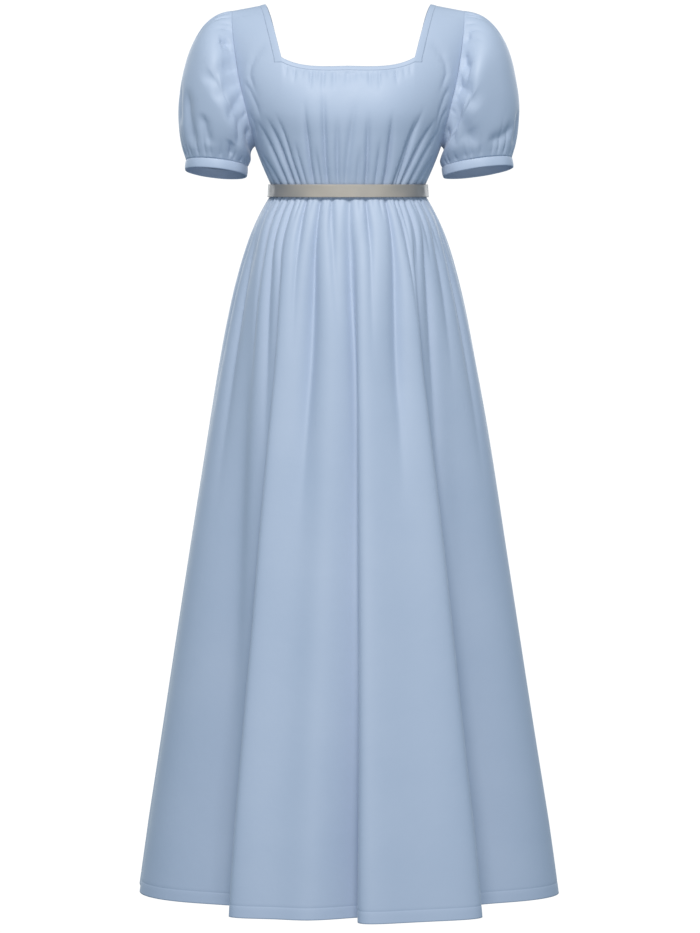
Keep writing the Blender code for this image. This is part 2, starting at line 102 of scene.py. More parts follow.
# Gathers of the bodice, from the waist seam up: where across the panel they stand at the waist and at their
# top end, the rise where they end, their depth and half-width
Gather = namedtuple("Gather", "low high reach depth width")
FRONT_GATHERS = (
    Gather(-0.88, -0.95, 0.19, 0.0022, 0.022),
    Gather(-0.78, -0.88, 0.19, 0.0034, 0.024),
    Gather(-0.66, -0.80, 0.19, 0.0040, 0.022),
    Gather(-0.57, -0.72, 0.36, 0.0056, 0.021),
    Gather(-0.49, -0.62, 0.37, 0.0078, 0.023),
    Gather(-0.41, -0.55, 0.39, 0.0053, 0.018),
    Gather(-0.345, -0.40, 0.25, 0.0031, 0.014),
    Gather(-0.275, -0.295, 0.46, 0.0065, 0.020),
    Gather(-0.21, -0.22, 0.22, 0.0031, 0.014),
    Gather(-0.15, -0.15, 0.53, 0.0059, 0.018),
    Gather(-0.066, -0.058, 0.38, 0.0050, 0.015),
    Gather(-0.016, 0.040, 0.47, 0.0047, 0.015),
    Gather(0.055, 0.070, 0.22, 0.0028, 0.013),
    Gather(0.125, 0.118, 0.40, 0.0062, 0.015),
    Gather(0.205, 0.215, 0.27, 0.0037, 0.015),
    Gather(0.293, 0.300, 0.40, 0.0071, 0.019),
    Gather(0.38, 0.53, 0.37, 0.0056, 0.018),
    Gather(0.42, 0.57, 0.42, 0.0053, 0.016),
    Gather(0.47, 0.68, 0.36, 0.0068, 0.020),
    Gather(0.56, 0.77, 0.32, 0.0047, 0.021),
    Gather(0.66, 0.84, 0.19, 0.0040, 0.022),
    Gather(0.78, 0.90, 0.19, 0.0031, 0.024),
    Gather(0.89, 0.95, 0.19, 0.0022, 0.022),
)
BACK_GATHERS = (
    Gather(-0.82, -0.84, 0.18, 0.0028, 0.022),
    Gather(-0.69, -0.67, 0.18, 0.0040, 0.022),
    Gather(-0.57, -0.53, 0.38, 0.0056, 0.022),
    Gather(-0.45, -0.42, 0.25, 0.0043, 0.018),
    Gather(-0.33, -0.31, 0.42, 0.0059, 0.020),
    Gather(-0.24, -0.23, 0.22, 0.0034, 0.015),
    Gather(-0.15, -0.14, 0.34, 0.0047, 0.018),
    Gather(-0.06, -0.05, 0.43, 0.0053, 0.018),
    Gather(0.03, 0.03, 0.23, 0.0034, 0.014),
    Gather(0.12, 0.11, 0.36, 0.0050, 0.018),
    Gather(0.20, 0.20, 0.42, 0.0056, 0.019),
    Gather(0.30, 0.29, 0.24, 0.0037, 0.015),
    Gather(0.40, 0.37, 0.35, 0.0050, 0.019),
    Gather(0.51, 0.46, 0.39, 0.0056, 0.022),
    Gather(0.64, 0.61, 0.18, 0.0043, 0.021),
    Gather(0.79, 0.80, 0.18, 0.0031, 0.022),
)

# Gathers under the neckline's binding: where across the panel, length as a rise, depth and half-width
Pucker = namedtuple("Pucker", "across length depth width")
FRONT_PUCKERS = (
    Pucker(-0.455, 0.081, 0.0015, 0.012),
    Pucker(-0.38, 0.103, 0.0021, 0.014),
    Pucker(-0.315, 0.069, 0.0015, 0.011),
    Pucker(-0.245, 0.138, 0.0027, 0.013),
    Pucker(-0.20, 0.092, 0.0023, 0.010),
    Pucker(-0.155, 0.149, 0.0029, 0.012),
    Pucker(-0.08, 0.127, 0.0027, 0.012),
    Pucker(-0.04, 0.081, 0.0019, 0.009),
    Pucker(-0.003, 0.115, 0.0027, 0.011),
    Pucker(0.032, 0.081, 0.0021, 0.010),
    Pucker(0.085, 0.057, 0.0014, 0.010),
    Pucker(0.13, 0.127, 0.0027, 0.012),
    Pucker(0.165, 0.092, 0.0023, 0.010),
    Pucker(0.20, 0.138, 0.0025, 0.012),
    Pucker(0.27, 0.069, 0.0015, 0.011),
    Pucker(0.335, 0.115, 0.0023, 0.014),
    Pucker(0.405, 0.081, 0.0015, 0.012),
    Pucker(0.46, 0.069, 0.0014, 0.012),
)
BACK_PUCKERS = tuple(
    Pucker(-0.45 + 0.075 * i + 0.012 * math.sin(5 * i), 0.08 + 0.025 * math.sin(2 * i), 0.0013, 0.012)
    for i in range(13)
)

# A soft crease along a path of (share one way, share the other way), with its depth and half-width
Crease = namedtuple("Crease", "path depth width")
STRAP_CREASE = (
    (0.59, 0.70), (0.66, 0.665), (0.74, 0.635), (0.80, 0.59), (0.83, 0.54), (0.80, 0.49), (0.75, 0.43),
)
FRONT_CREASES = (
    Crease(tuple((-a, r) for a, r in STRAP_CREASE), 0.0026, 0.0048),
    Crease(tuple((a, r + 0.01) for a, r in STRAP_CREASE), 0.0026, 0.0048),
    Crease(((-0.93, 0.52), (-0.86, 0.47), (-0.80, 0.40), (-0.76, 0.33)), 0.0022, 0.0050),
    Crease(((0.92, 0.50), (0.86, 0.45), (0.82, 0.38), (0.80, 0.30)), 0.0024, 0.0050),
    Crease(((0.95, 0.40), (0.88, 0.35), (0.85, 0.27)), 0.0018, 0.0040),
    Crease(((-0.95, 0.38), (-0.90, 0.32), (-0.88, 0.25)), 0.0018, 0.0040),
)
BACK_CREASES = (
    Crease(((-0.90, 0.55), (-0.80, 0.46), (-0.74, 0.36)), 0.0022, 0.0055),
    Crease(((0.90, 0.53), (0.81, 0.44), (0.76, 0.33)), 0.0022, 0.0055),
    Crease(((0.56, 0.66), (0.66, 0.60), (0.74, 0.52)), 0.0014, 0.0050),
    Crease(((-0.57, 0.67), (-0.66, 0.60), (-0.73, 0.51)), 0.0014, 0.0050),
)

# Folds of the skirt: bearings at FOLD_STOPS down it, in degrees from the front towards +X; how far out at the
# hem; half-width in degrees; sideways lean for each metre out; where along the skirt it begins and is full
FOLD_STOPS = (0.0, 0.25, 0.6, 1.0)
Fold = namedtuple("Fold", "at out width lean begins full")
SKIRT_FOLDS = (
    Fold((-76, -77, -78, -80), 0.010, 8, 0.0, 0.10, 0.9),
    Fold((-66, -60, -56, -51), -0.058, 9, -0.5, 0.02, 0.9),
    Fold((-42, -41.5, -41.5, -42), -0.046, 4.8, -1.0, 0.05, 0.9),
    Fold((-34, -34, -33.5, -32), 0.026, 7, -0.5, 0.03, 0.9),
    Fold((-17, -17, -17, -18), -0.012, 6, 0.0, 0.00, 0.4),
    Fold((-8, -10, -12, -14), 0.020, 8, 0.3, 0.05, 0.9),
    Fold((-1, -2, -3, -4), -0.044, 4.4, -1.0, 0.02, 0.9),
    Fold((7, 6.5, 6, 5), 0.028, 7, -0.6, 0.05, 0.9),
    Fold((23, 22, 21, 20), 0.024, 9, 0.2, 0.25, 1.0),
    Fold((33, 34, 34, 33), 0.030, 7, 0.6, 0.05, 0.9),
    Fold((42, 42.5, 43.5, 44), -0.052, 5.0, 1.0, 0.04, 0.9),
    Fold((53, 54, 55, 55), -0.048, 7.5, 0.5, 0.02, 0.9),
    Fold((74, 76, 78, 79), 0.016, 8, 0.0, 0.10, 0.9),
    Fold((104, 104, 104, 104), -0.028, 8, 0.3, 0.04, 0.9),
    Fold((122, 122, 123, 123), 0.030, 8, -0.4, 0.04, 0.9),
    Fold((140, 140, 141, 141), -0.040, 7, 0.6, 0.03, 0.9),
    Fold((156, 156, 156, 156), 0.030, 7, -0.4, 0.05, 0.9),
    Fold((172, 172, 171, 171), -0.036, 6.5, 0.7, 0.03, 0.9),
    Fold((187, 187, 188, 188), 0.030, 8, 0.3, 0.05, 0.9),
    Fold((204, 204, 205, 205), -0.042, 7, -0.6, 0.03, 0.9),
    Fold((220, 220, 221, 221), 0.030, 7, 0.4, 0.05, 0.9),
    Fold((237, 237, 237, 237), -0.036, 7, -0.5, 0.03, 0.9),
    Fold((256, 256, 255, 255), 0.020, 8, 0.3, 0.08, 0.9),
)

# Shorter folds of the skirt: bearing at its top and its end; depth; half-width in degrees; where along the
# skirt it is deepest and where it ends
Wrinkle = namedtuple("Wrinkle", "top end depth width deepest ends")
SKIRT_WRINKLES = (
    Wrinkle(-84, -82, 0.0050, 2.8, 0.10, 0.36),
    Wrinkle(-72, -69, 0.0068, 3.0, 0.16, 0.50),
    Wrinkle(-56, -55, 0.0050, 2.3, 0.10, 0.30),
    Wrinkle(-47, -44, 0.0066, 2.2, 0.13, 0.42),
    Wrinkle(-38, -39, 0.0088, 2.3, 0.22, 0.62),
    Wrinkle(-27, -25, 0.0046, 2.0, 0.07, 0.26),
    Wrinkle(-16.5, -19, 0.0125, 3.0, 0.17, 0.50),
    Wrinkle(-8, -6, 0.0040, 1.8, 0.06, 0.22),
    Wrinkle(-0.5, -1, 0.0105, 2.1, 0.15, 0.62),
    Wrinkle(10, 12, 0.0044, 2.0, 0.06, 0.26),
    Wrinkle(24, 20, 0.0115, 3.0, 0.15, 0.46),
    Wrinkle(33, 34, 0.0044, 1.8, 0.06, 0.20),
    Wrinkle(40, 40, 0.0080, 2.2, 0.18, 0.55),
    Wrinkle(49, 49, 0.0076, 2.6, 0.15, 0.48),
    Wrinkle(60, 59, 0.0046, 2.4, 0.10, 0.30),
    Wrinkle(71, 68, 0.0062, 2.8, 0.14, 0.46),
    Wrinkle(84, 83, 0.0046, 2.8, 0.10, 0.34),
    Wrinkle(97, 98, 0.0046, 2.8, 0.10, 0.33),
    Wrinkle(113, 114, 0.0074, 2.8, 0.14, 0.46),
    Wrinkle(131, 130, 0.0052, 2.2, 0.08, 0.30),
    Wrinkle(147, 149, 0.0100, 2.9, 0.15, 0.50),
    Wrinkle(163, 162, 0.0050, 2.1, 0.07, 0.27),
    Wrinkle(179, 181, 0.0105, 2.8, 0.16, 0.54),
    Wrinkle(196, 195, 0.0050, 2.1, 0.08, 0.30),
    Wrinkle(212, 210, 0.0094, 2.9, 0.14, 0.48),
    Wrinkle(229, 230, 0.0056, 2.3, 0.09, 0.34),
    Wrinkle(247, 246, 0.0072, 2.8, 0.13, 0.44),
    Wrinkle(263, 262, 0.0046, 2.6, 0.10, 0.32),
)

# Fine gathers under the ribbon: bearing, depth, half-width in degrees, and length as a share of the skirt
Tuck = namedtuple("Tuck", "bearing depth width length")
SKIRT_TUCKS = (
    Tuck(-87, 0.0024, 1.8, 0.07), Tuck(-80, 0.0036, 1.9, 0.13), Tuck(-74, 0.0022, 1.3, 0.05),
    Tuck(-68, 0.0044, 1.9, 0.15), Tuck(-62, 0.0024, 1.1, 0.04), Tuck(-56.5, 0.0050, 1.8, 0.14),
    Tuck(-51.5, 0.0022, 1.0, 0.04), Tuck(-47, 0.0052, 1.6, 0.12), Tuck(-43.5, 0.0026, 0.9, 0.03),
    Tuck(-39, 0.0046, 1.6, 0.17), Tuck(-33, 0.0028, 1.0, 0.05), Tuck(-28, 0.0056, 1.5, 0.11),
    Tuck(-23, 0.0024, 0.9, 0.03), Tuck(-17, 0.0060, 1.7, 0.20), Tuck(-12.5, 0.0020, 0.9, 0.03),
    Tuck(-9, 0.0044, 1.3, 0.09), Tuck(-4, 0.0018, 0.9, 0.03), Tuck(0.5, 0.0058, 1.5, 0.20),
    Tuck(6, 0.0020, 1.0, 0.04), Tuck(10, 0.0046, 1.4, 0.09), Tuck(15, 0.0016, 1.0, 0.03),
    Tuck(19.5, 0.0024, 1.0, 0.05), Tuck(24.5, 0.0058, 1.6, 0.18), Tuck(28.5, 0.0020, 0.8, 0.03),
    Tuck(32, 0.0034, 1.1, 0.07), Tuck(36, 0.0042, 1.3, 0.10), Tuck(42.5, 0.0056, 1.7, 0.17),
    Tuck(48, 0.0024, 1.1, 0.04), Tuck(53, 0.0048, 1.6, 0.12), Tuck(58, 0.0024, 1.0, 0.05),
    Tuck(63, 0.0044, 1.7, 0.12), Tuck(69, 0.0022, 1.2, 0.04), Tuck(75, 0.0040, 1.8, 0.13),
    Tuck(81, 0.0024, 1.5, 0.06), Tuck(87, 0.0030, 1.8, 0.10),
) + tuple(
    Tuck(
        92 + 5.2 * i + 1.4 * math.sin(2.3 * i),
        0.0036 + 0.0016 * math.sin(1.7 * i),
        1.35 + 0.35 * math.sin(3.1 * i),
        0.09 + 0.06 * math.sin(2.9 * i),
    )
    for i in range(34)
)

# The sleeves: the middle of each cuff, its half sizes, its tilts outwards and forwards in degrees, and how full
# the puff is
Sleeve = namedtuple("Sleeve", "name side cuff_x cuff_z half_width half_depth tip_out tip_forward puff")
LEFT_SLEEVE = Sleeve("left", 1, 0.204, -0.2490, 0.0555, 0.038, 8, 11, 1.02)
RIGHT_SLEEVE = Sleeve("right", -1, 0.208, -0.2505, 0.0485, 0.046, 6, 10, 0.95)
CUFF_Y = -0.004

# How far the puff's curve reaches at a sleeve's top, front, underside and back: from the armhole sideways and
# away from its middle, and from the cuff upwards and outwards
Throw = namedtuple("Throw", "top front under back")
ARM_OUT = Throw(0.088, 0.054, 0.012, 0.054)
ARM_ABROAD = Throw(-0.003, 0.050, 0.008, 0.046)
CUFF_RISE = Throw(0.060, 0.060, 0.016, 0.060)
CUFF_ABROAD = Throw(0.030, 0.048, 0.004, 0.046)
SLEEVE_AROUND = 0.45
SLEEVE_ALONG = 0.26
HEAD_GATHERS = 22
CUFF_GATHERS = 26

# Creases of the sleeves, by their share round from the top towards the front, and their share along
RIGHT_SLEEVE_CREASES = (
    Crease(((0.045, 0.10), (0.055, 0.34)), 0.0030, 0.0070),
    Crease(((0.205, 0.03), (0.203, 0.15)), 0.0052, 0.0050),
    Crease(((0.255, -0.02), (0.265, 0.19), (0.245, 0.43), (0.200, 0.55)), 0.0080, 0.0062),
    Crease(((0.292, -0.02), (0.290, 0.35), (0.245, 0.60)), 0.0090, 0.0066),
    Crease(((0.345, -0.02), (0.335, 0.31), (0.295, 0.67)), 0.0062, 0.0062),
    Crease(((0.385, 0.00), (0.355, 0.59), (0.335, 0.86)), 0.0044, 0.0056),
    Crease(((0.430, 0.00), (0.425, 0.45)), 0.0036, 0.0050),
    Crease(((0.125, 0.60), (0.140, 0.78), (0.145, 0.94)), 0.0062, 0.0085),
    Crease(((0.200, 0.72), (0.225, 0.92)), 0.0044, 0.0062),
    Crease(((0.060, 0.56), (0.070, 0.80)), 0.0036, 0.0080),
    Crease(((0.310, 0.80), (0.320, 0.96)), 0.0036, 0.0056),
    Crease(((0.655, 0.00), (0.680, 0.28), (0.725, 0.52)), 0.0070, 0.0068),
    Crease(((0.735, 0.00), (0.760, 0.26), (0.800, 0.46)), 0.0076, 0.0072),
    Crease(((0.830, 0.04), (0.850, 0.22)), 0.0044, 0.0066),
    Crease(((0.610, 0.00), (0.610, 0.30)), 0.0040, 0.0050),
    Crease(((0.930, 0.08), (0.935, 0.32)), 0.0028, 0.0070),
    Crease(((0.730, 0.68), (0.740, 0.96)), 0.0044, 0.0066),
    Crease(((0.880, 0.56), (0.890, 0.76), (0.870, 0.94)), 0.0056, 0.0085),
)
LEFT_SLEEVE_CREASES = (
    Crease(((0.040, 0.12), (0.050, 0.34)), 0.0028, 0.0070),
    Crease(((0.180, 0.00), (0.182, 0.07)), 0.0030, 0.0040),
    Crease(((0.232, -0.01), (0.260, 0.08), (0.277, 0.17)), 0.0086, 0.0056),
    Crease(((0.280, -0.02), (0.310, 0.06), (0.290, 0.46), (0.250, 0.65)), 0.0074, 0.0060),
    Crease(((0.348, -0.02), (0.360, 0.31), (0.290, 0.77), (0.245, 0.92)), 0.0090, 0.0080),
    Crease(((0.387, 0.00), (0.365, 0.53), (0.325, 0.87)), 0.0050, 0.0056),
    Crease(((0.430, 0.00), (0.430, 0.45)), 0.0038, 0.0050),
    Crease(((0.080, 0.80), (0.150, 0.88), (0.215, 0.90)), 0.0048, 0.0070),
    Crease(((0.050, 0.70), (0.060, 0.94)), 0.0038, 0.0075),
    Crease(((0.640, 0.00), (0.675, 0.28), (0.715, 0.50)), 0.0068, 0.0066),
    Crease(((0.725, 0.00), (0.755, 0.26), (0.800, 0.50)), 0.0078, 0.0074),
    Crease(((0.815, 0.03), (0.835, 0.20)), 0.0046, 0.0066),
    Crease(((0.600, 0.00), (0.600, 0.28)), 0.0040, 0.0050),
    Crease(((0.920, 0.08), (0.930, 0.30)), 0.0028, 0.0070),
    Crease(((0.710, 0.66), (0.720, 0.96)), 0.0044, 0.0066),
    Crease(((0.860, 0.60), (0.870, 0.94)), 0.0052, 0.0085),
)


# ---------------------------------------------------------------- helpers

def smooth_step(low, high, value):
    share = min(1.0, max(0.0, (value - low) / (high - low)))
    return share * share * (3 - 2 * share)


def bell(offset, half_width):
    ratio = offset / half_width
    return math.exp(-0.5 * ratio * ratio) if abs(ratio) < 4 else 0.0


def cleft(offset, half_width):
    """A trough with a narrow floor that opens out into rounded ridges."""
    floor = 0.35 * half_width
    return math.exp(-(math.hypot(offset, floor) - floor) / (0.8 * half_width))


def mix(a, b, share):
    return a + (b - a) * share


def signed_power(value, power):
    return math.copysign(abs(value) ** power, value)


def turn_between(a, b):
    """The angle from b to a, in degrees from -180 to 180."""
    return (a - b + 180) % 360 - 180


def catmull_rom(before, start, end, after, share):
    return 0.5 * (
        2 * start
        + (end - before) * share
        + (2 * before - 5 * start + 4 * end - after) * share**2
        + (3 * start - before - 3 * end + after) * share**3
    )


def section_at(rise):
    top, below = SECTIONS[-1], SECTIONS[-2]
    over = Section(below.z, top.half_width, -below.front, -below.back)
    rows = (SECTIONS[0],) + SECTIONS + (over,)
    place = min(max(rise, 0.0), 1.0) * (len(SECTIONS) - 1)
    index = min(int(place), len(SECTIONS) - 2)
    return Section(*(catmull_rom(*column, place - index) for column in zip(*rows[index : index + 4])))


def crease_depth(creases, across, along, across_size, along_size):
    """How deep the creases are at a place, by its distance from each one's path, fading at the path's ends."""
    depth = 0.0
    for crease in creases:
        best, share_of_best = 1.0, 0.0
        runs = list(zip(crease.path, crease.path[1:]))
        for index, ((a0, b0), (a1, b1)) in enumerate(runs):
            run = ((a1 - a0) * across_size, (b1 - b0) * along_size)
            here = ((across - a0) * across_size, (along - b0) * along_size)
            length = run[0] ** 2 + run[1] ** 2
            share = min(1.0, max(0.0, (here[0] * run[0] + here[1] * run[1]) / length))
            gap = math.hypot(here[0] - run[0] * share, here[1] - run[1] * share)
            if gap < best:
                best, share_of_best = gap, (index + share) / len(runs)
        fade = smooth_step(-0.02, 0.3, share_of_best) * smooth_step(1.02, 0.7, share_of_best)
        depth += crease.depth * mix(bell(best, crease.width), cleft(best, crease.width), 0.5) * fade
    return DEEPEST_CREASE * math.tanh(depth / DEEPEST_CREASE)


# ---------------------------------------------------------------- bodice

def bearing_of(x, half_width):
    return math.asin(min(1.0, abs(x) / half_width) ** (1 / ROUNDNESS))


def body_point(panel, bearing, rise):
    section = section_at(rise)
    depth = section.front if panel is FRONT else section.back
    x = section.half_width * signed_power(math.sin(bearing), ROUNDNESS)
    y = panel.facing * depth * max(0.0, math.cos(bearing)) ** ROUNDNESS
    share = (abs(x) - NECK_POINT_X) / (SHOULDER_TIP_X - NECK_POINT_X)
    return Vector((x, y, section.z - SHOULDER_DROP * share * smooth_step(0.5, 1.0, rise)))


def armhole_bearing(rise):
    share = max(0.0, (rise - UNDERARM_RISE) / (1 - UNDERARM_RISE))
    left = 1 - min(1.0, share / ARMHOLE_CURVE)
    return math.pi / 2 - ARMHOLE_SWEEP * math.sqrt(max(0.0, 1 - left**2))


def neck_bearing(panel, rise):
    up = max(rise, panel.neck_rise)
    share = (1 - up) / (1 - panel.neck_rise)
    edge = bearing_of(NECK_POINT_X - panel.comes_in * share**panel.sharpness, section_at(up).half_width)
    return mix(NECK_LINE_AT_WAIST, edge, smooth_step(0.0, 1.0, rise / panel.neck_rise))


def binding_rise(panel):
    """The rise of the binding's lower edge."""
    return panel.neck_rise - BINDING_WIDTH / PANEL_LENGTH


def panel_point(panel, across, rise):
    share = abs(across)
    bearing = neck_bearing(panel, rise) * share / NECK_COLUMN
    if share > NECK_COLUMN:
        over = (share - NECK_COLUMN) / (1 - NECK_COLUMN)
        bearing = mix(neck_bearing(panel, rise), armhole_bearing(rise), over)
    point = body_point(panel, math.copysign(bearing, across), rise)
    middle = max(0.0, 1 - (share / NECK_COLUMN) ** 3)
    point.z -= panel.dip * middle * min(1.0, rise / panel.neck_rise) ** 4
    return point


def panel_normal(panel, across, rise):
    left, right = max(-1.0, across - SLOPE_STEP), min(1.0, across + SLOPE_STEP)
    under, over = max(0.0, rise - SLOPE_STEP), min(1.0, rise + SLOPE_STEP)
    sideways = panel_point(panel, right, rise) - panel_point(panel, left, rise)
    along = panel_point(panel, across, over) - panel_point(panel, across, under)
    normal = sideways.cross(along).normalized() * -panel.facing
    normal.y *= smooth_step(1.0, 0.985, rise)
    return normal.normalized()


def even_across(panel, across, rise):
    """The share across as if the side seam ran straight on up, so the armhole's curve bends no gather."""
    if abs(across) <= NECK_COLUMN:
        return across
    neck = neck_bearing(panel, rise)
    over = (abs(across) - NECK_COLUMN) * (armhole_bearing(rise) - neck) / (math.pi / 2 - neck)
    return math.copysign(NECK_COLUMN + over, across)


def panel_relief(panel, across, rise):
    """How far a bodice panel's cloth stands out from its form."""
    gathers = FRONT_GATHERS if panel is FRONT else BACK_GATHERS
    even = even_across(panel, across, rise)
    depth = 0.0
    for gather in gathers:
        if rise < gather.reach:
            line = mix(gather.low, gather.high, (rise / gather.reach) ** 1.15)
            fade = 1 - smooth_step(0.45 * gather.reach, gather.reach, rise)
            depth += GATHER_STRENGTH * gather.depth * cleft(even - line, gather.width) * fade
    depth *= mix(0.45, 1.0, smooth_step(0.0, 0.09, rise))
    below = binding_rise(panel) - rise
    for pucker in FRONT_PUCKERS if panel is FRONT else BACK_PUCKERS:
        if -0.02 < below < pucker.length and abs(across) < NECK_COLUMN:
            line = pucker.across * (1 + 0.25 * below)
            fade = 1 - smooth_step(0.2, 1.0, below / pucker.length)
            depth += pucker.depth * cleft(across - line, pucker.width) * fade
    creases = FRONT_CREASES if panel is FRONT else BACK_CREASES
    depth += crease_depth(creases, across, rise, CREASE_ACROSS, CREASE_UP)
    lobes = 0.0
    if panel is FRONT:
        lobes = 0.0040 * (bell(across - 0.27, 0.16) + bell(across + 0.27, 0.16)) * bell(rise - 0.40, 0.13)
        lobes -= 0.0030 * bell(across, 0.10) * bell(rise - 0.42, 0.13)
    edges = smooth_step(1.0, 0.93, abs(across)) * smooth_step(1.0, 0.93, rise)
    if abs(across) < STRAP_EDGE_COLUMN:
        inside = smooth_step(NECK_COLUMN, STRAP_EDGE_COLUMN, abs(across))
        edges *= max(inside, smooth_step(0.0, 0.02, below))
    return (lobes - depth) * edges


# ---------------------------------------------------------------- skirt

def growth(fold, share):
    grown = min(1.0, max(0.0, (share - fold.begins) / (fold.full - fold.begins)))
    return grown**0.9 * smooth_step(0.0, 0.08, grown)


def fold_line(fold, share):
    index = bisect(FOLD_STOPS, share, 1, 3) - 1
    along = (share - FOLD_STOPS[index]) / (FOLD_STOPS[index + 1] - FOLD_STOPS[index])
    return mix(fold.at[index], fold.at[index + 1], along)


def skirt_point(bearing, share):
    drop = share * SKIRT_LENGTH
    spread = 1 - math.exp(-drop / FULLNESS_DROP)
    angle = math.radians(bearing)
    side, front, back = (flare * drop + full * spread for flare, full in zip(SKIRT_FLARE, SKIRT_FULLNESS))
    half_width = SECTIONS[0].half_width + side
    depth = SECTIONS[0].front + front
    if math.cos(angle) < 0:
        depth = SECTIONS[0].back + back
    roundness = mix(ROUNDNESS, 1.0, smooth_step(0.0, 0.25, share))
    x = half_width * signed_power(math.sin(angle), roundness)
    y = -depth * signed_power(math.cos(angle), roundness)
    outward = Vector((math.sin(angle) / half_width, -math.cos(angle) / depth, 0)).normalized()
    sideways = Vector((-outward.y, outward.x, 0))
    out, lean = 0.0, 0.0
    for fold in SKIRT_FOLDS:
        stand = bell(turn_between(bearing, fold_line(fold, share)), fold.width)
        if stand > 0:
            stand *= fold.out * growth(fold, share)
            out += stand
            lean += stand * fold.lean
    return Vector((x, y, WAIST_Z - drop)) + outward * out + sideways * lean


def skirt_relief(bearing, share):
    """How far the skirt's cloth stands out from its large folds."""
    depth = 0.0
    for tuck in SKIRT_TUCKS:
        if share < tuck.length:
            fade = 1 - smooth_step(0.15, 1.0, share / tuck.length)
            depth += tuck.depth * cleft(turn_between(bearing, tuck.bearing), tuck.width) * fade
    depth *= mix(0.5, 1.0, smooth_step(0.0, 0.02, share))
    for wrinkle in SKIRT_WRINKLES:
        if share < wrinkle.ends:
            line = mix(wrinkle.top, wrinkle.end, share / wrinkle.ends)
            full = WRINKLE_STRENGTH * wrinkle.depth * cleft(turn_between(bearing, line), wrinkle.width)
            rising = smooth_step(0.0, wrinkle.deepest, share)
            depth += full * rising * (1 - smooth_step(wrinkle.deepest, wrinkle.ends, share))
    side = min(abs(turn_between(bearing, 90)), abs(turn_between(bearing, -90)))
    depth += 0.0007 * bell(side, 0.35 / (0.4 + share))
    from_hem = (1 - share) * SKIRT_LENGTH
    depth += 0.0004 * bell(from_hem - HEM_DEPTH, 0.0010)
    return -depth


def skirt_shares():
    """The rows of the skirt, close together under the ribbon and at the hem's stitching."""
    body = [(i / 104) ** 1.35 * (1 - 0.024 / SKIRT_LENGTH) for i in range(105)]
    body[0] = SEAM_GAP / 2 / SKIRT_LENGTH
    hem = (0.0210, 0.0197, 0.0190, 0.0185, 0.0180, 0.0173, 0.0160, 0.0110, 0.0060, 0.0020, 0.0)
    return body + [1 - height / SKIRT_LENGTH for height in hem]


# ---------------------------------------------------------------- sleeves

def around(throw, share):
    turn = 2 * math.pi * share
    wave = (throw.top + throw.under - throw.front - throw.back) / 4 * math.cos(2 * turn)
    wave += (throw.top - throw.under) / 2 * math.cos(turn) + (throw.front - throw.back) / 2 * math.sin(turn)
    return sum(throw) / 4 + wave


def armhole_edge(sleeve, share):
    share %= 1.0
    panel = FRONT if share <= 0.5 else BACK
    down = 2 * min(share, 1 - share)
    rise = mix(1.0, UNDERARM_RISE, mix(down, smooth_step(0.0, 1.0, down), 0.35))
    return panel_point(panel, sleeve.side, rise), panel_normal(panel, sleeve.side, rise)


def cuff_axes(sleeve):
    out, forward = math.radians(sleeve.tip_out), math.radians(sleeve.tip_forward)
    across = Vector((sleeve.side * math.cos(out), 0, math.sin(out)))
    to_front = Vector((0, -math.cos(forward), math.sin(forward)))
    mouth = across.cross(to_front) * sleeve.side
    return across, to_front, mouth.normalized()


def cuff_point(sleeve, share, along):
    across, to_front, mouth = cuff_axes(sleeve)
    turn = 2 * math.pi * share
    middle = Vector((sleeve.side * sleeve.cuff_x, CUFF_Y, sleeve.cuff_z))
    spread = across * sleeve.half_width * math.cos(turn) + to_front * sleeve.half_depth * math.sin(turn)
    return middle + spread + mouth * along


@lru_cache(maxsize=None)
def puff_curve(sleeve, share):
    """The four points of the curve that the puff's cloth follows from the armhole to the cuff."""
    edge, normal = armhole_edge(sleeve, share)
    abroad = Vector((0, edge.y, edge.z - ARMHOLE_MIDDLE_Z)).normalized()
    out = Vector((sleeve.side, 0, 0))
    throw = out * around(ARM_OUT, share) * sleeve.puff + abroad * around(ARM_ABROAD, share)
    start = edge + normal * 0.0002 - throw.normalized() * 0.0004
    across, to_front, mouth = cuff_axes(sleeve)
    turn = 2 * math.pi * share
    cuff_abroad = across * math.cos(turn) + to_front * math.sin(turn)
    end = cuff_point(sleeve, share, -SEAM_GAP)
    second = end - mouth * around(CUFF_RISE, share) + cuff_abroad * around(CUFF_ABROAD, share)
    return start, start + throw, second, end


def sleeve_point(sleeve, share, along):
    start, first, second, end = puff_curve(sleeve, share)
    left = 1 - along
    return (
        start * left**3 + first * 3 * left**2 * along + second * 3 * left * along**2 + end * along**3
    )


def ring_gap(share, line):
    """How far a share round the sleeve is from a line, the shorter way."""
    return (share - line + 0.5) % 1.0 - 0.5


